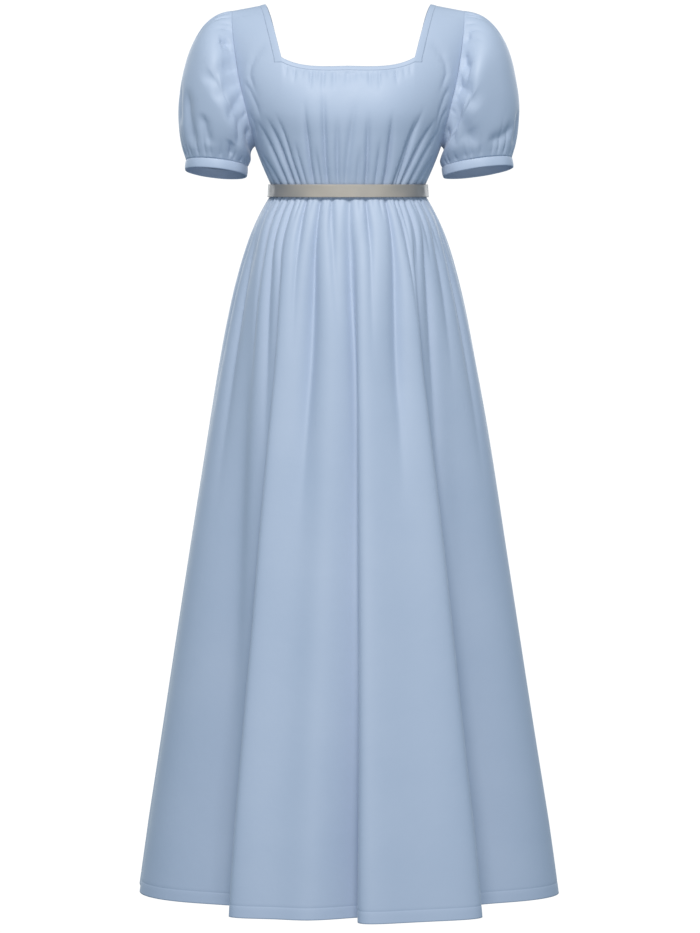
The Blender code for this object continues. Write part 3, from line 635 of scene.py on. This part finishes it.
def sleeve_relief(sleeve, share, along):
    """How far the puff stands out from its form, with its creases and the gathers of its head and cuff."""
    creases = LEFT_SLEEVE_CREASES if sleeve.side > 0 else RIGHT_SLEEVE_CREASES
    depth = 0.0
    for turn in (-1, 0, 1):
        if turn == 0 or share < 0.1 and turn == 1 or share > 0.9 and turn == -1:
            depth += crease_depth(creases, share + turn, along, SLEEVE_AROUND, SLEEVE_ALONG)
    for i in range(HEAD_GATHERS):
        line = 0.61 + (i + 0.5) / HEAD_GATHERS * 0.78 + 0.008 * math.sin(3.7 * i + sleeve.side)
        length = 0.20 + 0.08 * math.sin(2.1 * i)
        fade = 1 - smooth_step(0.1, 1.0, along / length)
        depth += 0.0020 * cleft(ring_gap(share, line), 0.0060) * fade
    for i in range(CUFF_GATHERS):
        line = i / CUFF_GATHERS + 0.007 * math.sin(4.3 * i + 2 * sleeve.side)
        length = 0.22 + 0.09 * math.sin(1.9 * i + sleeve.side)
        fade = 1 - smooth_step(0.05, 1.0, (1 - along) / length)
        depth += 0.0021 * cleft(ring_gap(share, line), 0.0062) * fade
    depth *= smooth_step(0.0, 0.05, along) * smooth_step(1.0, 0.95, along)
    pillow = 0.0020 * bell(along - 0.74, 0.13) * smooth_step(1.0, 0.9, along)
    return pillow - depth


# ---------------------------------------------------------------- finishes

def node(tree, kind, links=(), **settings):
    """A shader node. Each link is a socket with its source or its value."""
    made = tree.nodes.new(kind)
    for name, value in settings.items():
        setattr(made, name, value)
    for socket, source in links:
        if hasattr(source, "is_linked"):
            tree.links.new(source, made.inputs[socket])
        else:
            made.inputs[socket].default_value = source
    return made


def ramp(tree, source, *stops):
    made = node(tree, "ShaderNodeValToRGB", (("Fac", source),))
    elements = made.color_ramp.elements
    while len(elements) < len(stops):
        elements.new(0.5)
    for element, (position, colour) in zip(elements, stops):
        element.position, element.color = position, (*colour, 1)
    return made.outputs["Color"]


def new_finish(name, **sockets):
    finish = bpy.data.materials.new(name)
    finish.use_nodes = True
    tree = finish.node_tree
    shader = tree.nodes["Principled BSDF"]
    for socket, value in sockets.items():
        shader.inputs[socket.replace("_", " ")].default_value = value
    return finish, tree, shader


def sateen(name, pale, deep):
    """Cotton sateen: a fine weave, a soft bloom, and a little unevenness from the iron and the dye."""
    finish, tree, shader = new_finish(
        name,
        Sheen_Weight=0.30, Sheen_Roughness=0.45, Sheen_Tint=(0.9, 0.95, 1.0, 1.0), Specular_IOR_Level=0.42,
    )
    place = node(tree, "ShaderNodeTexCoord")
    cloud = node(
        tree, "ShaderNodeTexNoise",
        (("Vector", place.outputs["Object"]), ("Scale", 5.0), ("Detail", 4.0), ("Roughness", 0.55)),
    )
    colour = ramp(tree, cloud.outputs["Fac"], (0.30, deep), (0.70, pale))
    tree.links.new(colour, shader.inputs["Base Color"])
    warp = node(
        tree, "ShaderNodeTexWave",
        (("Vector", place.outputs["UV"]), ("Scale", 620.0), ("Distortion", 0.6), ("Detail", 1.0)),
        bands_direction="X",
    )
    weft = node(
        tree, "ShaderNodeTexWave",
        (("Vector", place.outputs["UV"]), ("Scale", 380.0), ("Distortion", 0.6), ("Detail", 1.0)),
        bands_direction="Y",
    )
    weave = node(
        tree, "ShaderNodeMath", ((0, warp.outputs["Fac"]), (1, weft.outputs["Fac"])), operation="MULTIPLY"
    )
    slub = node(
        tree, "ShaderNodeTexNoise",
        (("Vector", place.outputs["Object"]), ("Scale", 42.0), ("Detail", 5.0), ("Roughness", 0.6)),
    )
    rough = node(
        tree, "ShaderNodeMapRange",
        (("Value", slub.outputs["Fac"]), ("To Min", 0.46), ("To Max", 0.60)),
    )
    tree.links.new(rough.outputs["Result"], shader.inputs["Roughness"])
    soft = node(
        tree, "ShaderNodeBump",
        (("Height", slub.outputs["Fac"]), ("Strength", 0.10), ("Distance", 0.0030)),
    )
    fine = node(
        tree, "ShaderNodeBump",
        (("Height", weave.outputs["Value"]), ("Strength", 0.12), ("Distance", 0.0002),
         ("Normal", soft.outputs["Normal"])),
    )
    tree.links.new(fine.outputs["Normal"], shader.inputs["Normal"])
    return finish


def satin_ribbon():
    """Satin: long floats that catch the light, and painted shade in its colour where it turns away at the
    sides.
    """
    finish, tree, shader = new_finish(
        "taupe_satin", Sheen_Weight=0.25, Sheen_Roughness=0.3, Specular_IOR_Level=0.65, Anisotropic=0.5
    )
    place = node(tree, "ShaderNodeTexCoord")
    cloud = node(
        tree, "ShaderNodeTexNoise",
        (("Vector", place.outputs["Object"]), ("Scale", 9.0), ("Detail", 3.0), ("Roughness", 0.5)),
    )
    colour = ramp(
        tree, cloud.outputs["Fac"],
        (0.30, (0.350, 0.325, 0.300)), (0.50, (0.415, 0.375, 0.330)), (0.72, (0.500, 0.410, 0.350)),
    )
    # Painted shade: the base colour darkens towards the ribbon's sides, where it turns away from the front.
    across = node(tree, "ShaderNodeSeparateXYZ", (("Vector", place.outputs["Object"]),))
    reach = node(tree, "ShaderNodeMath", ((0, across.outputs["X"]),), operation="ABSOLUTE")
    painted_side_shade = ramp(
        tree, reach.outputs["Value"],
        (0.050, (1.0, 1.0, 1.0)), (0.108, (0.56, 0.60, 0.68)), (0.122, (0.42, 0.46, 0.54)),
    )
    shaded = node(
        tree, "ShaderNodeMix", ((0, 1.0), (6, colour), (7, painted_side_shade)),
        data_type="RGBA", blend_type="MULTIPLY",
    )
    tree.links.new(shaded.outputs[2], shader.inputs["Base Color"])
    floats = node(
        tree, "ShaderNodeTexWave",
        (("Vector", place.outputs["UV"]), ("Scale", 300.0), ("Distortion", 1.0), ("Detail", 2.0)),
        bands_direction="Y",
    )
    rough = node(
        tree, "ShaderNodeMapRange",
        (("Value", floats.outputs["Fac"]), ("To Min", 0.30), ("To Max", 0.40)),
    )
    tree.links.new(rough.outputs["Result"], shader.inputs["Roughness"])
    grain = node(
        tree, "ShaderNodeBump",
        (("Height", floats.outputs["Fac"]), ("Strength", 0.15), ("Distance", 0.0002)),
    )
    tree.links.new(grain.outputs["Normal"], shader.inputs["Normal"])
    return finish


# ---------------------------------------------------------------- making pieces

def lay_cloth(
    name, columns, rows, place, relief, size, finish, middle, keep=None, tube=False, thickness=CLOTH_THICKNESS
):
    """A sheet of cloth laid over place(column share, row share), its relief raised along its own normals.

    size is its threads' width and height in metres, middle gives the point that a face has to face away from,
    keep says which faces stay, and a tube's first and last columns are joined."""
    cloth = bmesh.new()
    threads = cloth.loops.layers.uv.new("threads")
    bmesh.ops.create_grid(cloth, x_segments=columns, y_segments=rows, size=0.5)
    for corner in cloth.verts:
        corner.co.x, corner.co.y = corner.co.x + 0.5, corner.co.y + 0.5
    if keep:
        cut = [face for face in cloth.faces if not keep(*face.calc_center_median().xy)]
        bmesh.ops.delete(cloth, geom=cut, context="FACES")
    for face in cloth.faces:
        face.smooth = True
        for loop in face.loops:
            loop[threads].uv = (loop.vert.co.x * size[0], loop.vert.co.y * size[1])
    shares = {corner: corner.co.xy.copy() for corner in cloth.verts}
    for corner in cloth.verts:
        corner.co = place(*shares[corner])
    if tube:
        seam = 0.5 / columns
        ends = [corner for corner in cloth.verts if min(shares[corner].x, 1 - shares[corner].x) < seam]
        bmesh.ops.remove_doubles(cloth, verts=ends, dist=0.00002)
    cloth.normal_update()
    centres = [(face.normal, face.calc_center_median()) for face in cloth.faces]
    if sum((centre - middle(centre)).dot(normal) for normal, centre in centres) < 0:
        bmesh.ops.reverse_faces(cloth, faces=cloth.faces[:])
    moves = {corner: corner.normal * relief(*shares[corner]) for corner in cloth.verts}
    for corner, move in moves.items():
        corner.co += move
    mesh = bpy.data.meshes.new(name)
    cloth.to_mesh(mesh)
    cloth.free()
    mesh.materials.append(finish)
    piece = bpy.data.objects.new(name, mesh)
    bpy.context.scene.collection.objects.link(piece)
    wall = piece.modifiers.new("thickness", "SOLIDIFY")
    wall.thickness = thickness
    wall.offset = 0
    return piece


def hand_over(piece, node_name, slot, **sheet):
    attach(piece, "root")
    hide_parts(node_name)


def body_axis(point):
    return Vector((0, 0, point.z))


def make_bodice(name, panel, finish):
    low_rows, strap_rows = 84, 34
    count = low_rows + strap_rows
    bottom, top = SEAM_GAP / PANEL_LENGTH, 1.0 - SEAM_GAP / STRAP_LENGTH
    edge = 1 - SEAM_GAP / 2 / PANEL_HALF_WIDTH

    def shares(column, row):
        across, index = (2 * column - 1) * edge, row * count
        if index <= low_rows:
            return across, mix(bottom, panel.neck_rise, index / low_rows)
        return across, mix(panel.neck_rise, top, (index - low_rows) / strap_rows)

    def place(column, row):
        return panel_point(panel, *shares(column, row))

    def relief(column, row):
        return panel_relief(panel, *shares(column, row))

    def keep(column, row):
        return row * count < low_rows or abs(2 * column - 1) > NECK_COLUMN

    size = (2 * PANEL_HALF_WIDTH, PANEL_LENGTH)
    return lay_cloth(name, 208, count, place, relief, size, finish, body_axis, keep)


def make_binding(finish):
    edge_steps, band_steps, strap_steps = 44, 6, 26
    acrosses = [mix(0.0, NECK_COLUMN, i / edge_steps) for i in range(edge_steps)]
    acrosses += [mix(NECK_COLUMN, STRAP_EDGE_COLUMN, i / band_steps) for i in range(band_steps + 1)]
    acrosses = [-across for across in acrosses[:0:-1]] + acrosses

    def rises_of(panel):
        low = [mix(binding_rise(panel), panel.neck_rise, i / band_steps) for i in range(band_steps)]
        return low + [mix(panel.neck_rise, 1.0, i / strap_steps) for i in range(strap_steps)]

    rises = rises_of(FRONT) + [1.0] + rises_of(BACK)[::-1]
    columns, count = len(acrosses) - 1, len(rises) - 1

    def shares(column, row):
        index = round(row * count)
        return FRONT if index <= count / 2 else BACK, acrosses[round(column * columns)], rises[index]

    def place(column, row):
        panel, across, rise = shares(column, row)
        return panel_point(panel, across, rise)

    def relief(column, row):
        panel, across, rise = shares(column, row)
        strap = max(0.0, (abs(across) - NECK_COLUMN) / (STRAP_EDGE_COLUMN - NECK_COLUMN))
        band = max(0.0, (panel.neck_rise - rise) / (BINDING_WIDTH / PANEL_LENGTH))
        over = min(1.0, max(strap, band))
        return BINDING_LIFT * mix(0.75, 0.25, over) + 0.0002 * math.sin(math.pi * over)

    def keep(column, row):
        in_rows = min(row * count, count - row * count) < band_steps
        return in_rows or min(column * columns, columns - column * columns) < band_steps

    size = (0.98, 0.0085)
    return lay_cloth("neck_binding_cloth", columns, count, place, relief, size, finish, body_axis, keep)


def make_ribbon(finish):
    def place(column, row):
        angle = 2 * math.pi * column
        height = (row - 0.5) * RIBBON_HEIGHT
        depth = SECTIONS[0].front if math.cos(angle) > 0 else SECTIONS[0].back
        spread = mix(RIBBON_SPREAD_BELOW, RIBBON_SPREAD_ABOVE, row)
        at_edges, here = math.hypot(RIBBON_HEIGHT / 2, RIBBON_BEND), math.hypot(height, RIBBON_BEND)
        grown = RIBBON_LIFT + spread * mix(at_edges, here, RIBBON_HOLLOW)
        x = (SECTIONS[0].half_width + grown) * signed_power(math.sin(angle), ROUNDNESS)
        y = -(depth + grown) * signed_power(math.cos(angle), ROUNDNESS)
        return Vector((x, y, WAIST_Z + height))

    def relief(column, row):
        turn = 2 * math.pi * column
        pucker = 0.0004 * math.sin(17 * turn + 1.5 * math.sin(5 * turn)) * math.sin(math.pi * row)
        return 0.0004 * math.sin(math.pi * row) + pucker

    return lay_cloth(
        "waist_ribbon_satin", 320, 14, place, relief, (0.715, RIBBON_HEIGHT), finish, body_axis, tube=True,
        thickness=0.0006,
    )


def make_skirt(name, middle, finish):
    shares = skirt_shares()
    count = len(shares) - 1
    waist_radius = 0.12
    gap_angle = math.degrees(SEAM_GAP / 2 / waist_radius)

    def at(column, row):
        return middle + mix(-90 + gap_angle, 90 - gap_angle, column), shares[round((1 - row) * count)]

    def place(column, row):
        return skirt_point(*at(column, row))

    def relief(column, row):
        bearing, share = at(column, row)
        point = place(column, row)
        uneven = noise.noise(Vector((point.x * 9, point.y * 9, point.z * 3.5)))
        return skirt_relief(bearing, share) + 0.0016 * uneven * smooth_step(0.02, 0.12, share)

    return lay_cloth(name, 300, count, place, relief, (1.05, 1.13), finish, body_axis)


def make_sleeve(sleeve, finish):
    def place(column, row):
        return sleeve_point(sleeve, column % 1.0, row)

    def relief(column, row):
        point = place(column, row)
        uneven = noise.noise(Vector((point.x * 22, point.y * 22, point.z * 22)))
        return sleeve_relief(sleeve, column, row) + 0.0010 * uneven * math.sin(math.pi * row)

    def middle(point):
        return Vector((sleeve.side * 0.2, 0, min(-0.06, max(-0.2, point.z))))

    size = (SLEEVE_AROUND, SLEEVE_ALONG)
    return lay_cloth(
        f"sleeve_{sleeve.name}_cloth", 232, 92, place, relief, size, finish, middle, tube=True
    )


def make_cuff(sleeve, finish):
    def place(column, row):
        return cuff_point(sleeve, column, CUFF_HEIGHT * row)

    def relief(column, row):
        turn = 2 * math.pi * column
        return 0.0009 * math.sin(math.pi * row) ** 0.6 + 0.0003 * math.sin(9 * turn + sleeve.side) * row

    def middle(point):
        return Vector((sleeve.side * sleeve.cuff_x, CUFF_Y, point.z))

    return lay_cloth(
        f"cuff_{sleeve.name}_cloth", 160, 10, place, relief, (0.293, CUFF_HEIGHT), finish, middle, tube=True,
        thickness=0.0012,
    )


# ---------------------------------------------------------------- the gown

blue_sateen = sateen("blue_sateen", (0.430, 0.510, 0.660), (0.397, 0.480, 0.632))
taupe_satin = satin_ribbon()

bodice_front = make_bodice("bodice_front_cloth", FRONT, blue_sateen)
hand_over(
    bodice_front, "bodice_front", "gown_cloth",
    flat=(0.52, 0.36), held="gathered", rests_on=["neck_binding_cloth"], area=0.125,
)
bodice_back = make_bodice("bodice_back_cloth", BACK, blue_sateen)
hand_over(
    bodice_back, "bodice_back", "gown_cloth",
    flat=(0.50, 0.34), held="gathered", rests_on=["neck_binding_cloth"], area=0.105,
)
neck_binding = make_binding(blue_sateen)
hand_over(
    neck_binding, "neck_binding", "gown_cloth",
    flat=(0.98, 0.010), held="stretched", rests_on=["bodice_front_cloth", "bodice_back_cloth"],
)
waist_ribbon = make_ribbon(taupe_satin)
hand_over(
    waist_ribbon, "waist_ribbon", "ribbon",
    flat=(0.715, 0.0205), held="stretched", rests_on=["bodice_front_cloth", "bodice_back_cloth"],
)
skirt_front = make_skirt("skirt_front_cloth", 0, blue_sateen)
hand_over(
    skirt_front, "skirt_front", "gown_cloth",
    flat=(1.10, 1.13), held="gathered", rests_on=["bodice_front_cloth"], area=0.95,
)
skirt_back = make_skirt("skirt_back_cloth", 180, blue_sateen)
hand_over(
    skirt_back, "skirt_back", "gown_cloth",
    flat=(1.10, 1.13), held="gathered", rests_on=["bodice_back_cloth"], area=0.95,
)
for sleeve in (LEFT_SLEEVE, RIGHT_SLEEVE):
    puff = make_sleeve(sleeve, blue_sateen)
    hand_over(
        puff, f"sleeve_{sleeve.name}", "gown_cloth",
        flat=(0.46, 0.22), held="gathered", rests_on=["bodice_front_cloth", "bodice_back_cloth"], area=0.080,
    )
    cuff = make_cuff(sleeve, blue_sateen)
    hand_over(
        cuff, f"cuff_{sleeve.name}", "gown_cloth",
        flat=(0.293, 0.0155), held="stretched", rests_on=[f"sleeve_{sleeve.name}_cloth"],
    )


# ---------------------------------------------------------------- the room

def area_light(name, place, aim, size, power, colour):
    light = bpy.data.lights.new(name, "AREA")
    light.shape, light.size, light.energy, light.color = "SQUARE", size, power, colour
    lamp = bpy.data.objects.new(name, light)
    lamp.location = place
    lamp.rotation_euler = (Vector(aim) - Vector(place)).to_track_quat("-Z", "Y").to_euler()
    bpy.context.scene.collection.objects.link(lamp)


def make_world():
    world = bpy.data.worlds.new("white_room")
    bpy.context.scene.world = world
    world.use_nodes = True
    tree = world.node_tree
    tree.nodes.clear()
    seen = node(tree, "ShaderNodeBackground", (("Color", (1, 1, 1, 1)), ("Strength", 1.05)))
    light = node(tree, "ShaderNodeBackground", (("Color", (0.58, 0.82, 1.0, 1)), ("Strength", 0.345)))
    path = node(tree, "ShaderNodeLightPath")
    mixed = node(
        tree, "ShaderNodeMixShader",
        ((0, path.outputs["Is Camera Ray"]), (1, light.outputs[0]), (2, seen.outputs[0])),
    )
    out = node(tree, "ShaderNodeOutputWorld")
    tree.links.new(mixed.outputs[0], out.inputs["Surface"])


def make_camera():
    distance, eye_z, centre_z, height = 6.3, -0.28, -0.7316, 1.4877
    lens = bpy.data.cameras.new("camera")
    lens.sensor_fit = "VERTICAL"
    lens.sensor_height = 24
    lens.lens = 12 / (height / 2 / math.hypot(distance, eye_z - centre_z))
    camera = bpy.data.objects.new("camera", lens)
    camera.location = (0.0030, -distance, eye_z)
    aim = Vector((0.0030, 0, centre_z)) - camera.location
    camera.rotation_euler = aim.to_track_quat("-Z", "Y").to_euler()
    bpy.context.scene.collection.objects.link(camera)
    bpy.context.scene.camera = camera


make_world()
make_camera()
area_light("key", (-0.2, -3.1, 2.9), (0, 0, -0.4), 1.6, 172, (1.0, 0.95, 0.87))
area_light("front", (0.4, -4.5, -0.9), (0, 0, -0.8), 1.8, 42, (1.0, 0.975, 0.95))
for side in (-1, 1):
    area_light(f"edge_{side}", (side * 1.9, 3.0, 0.2), (0, 0, -0.6), 2.0, 28, (1.0, 0.985, 0.97))
bpy.context.scene.view_settings.view_transform = "Standard"
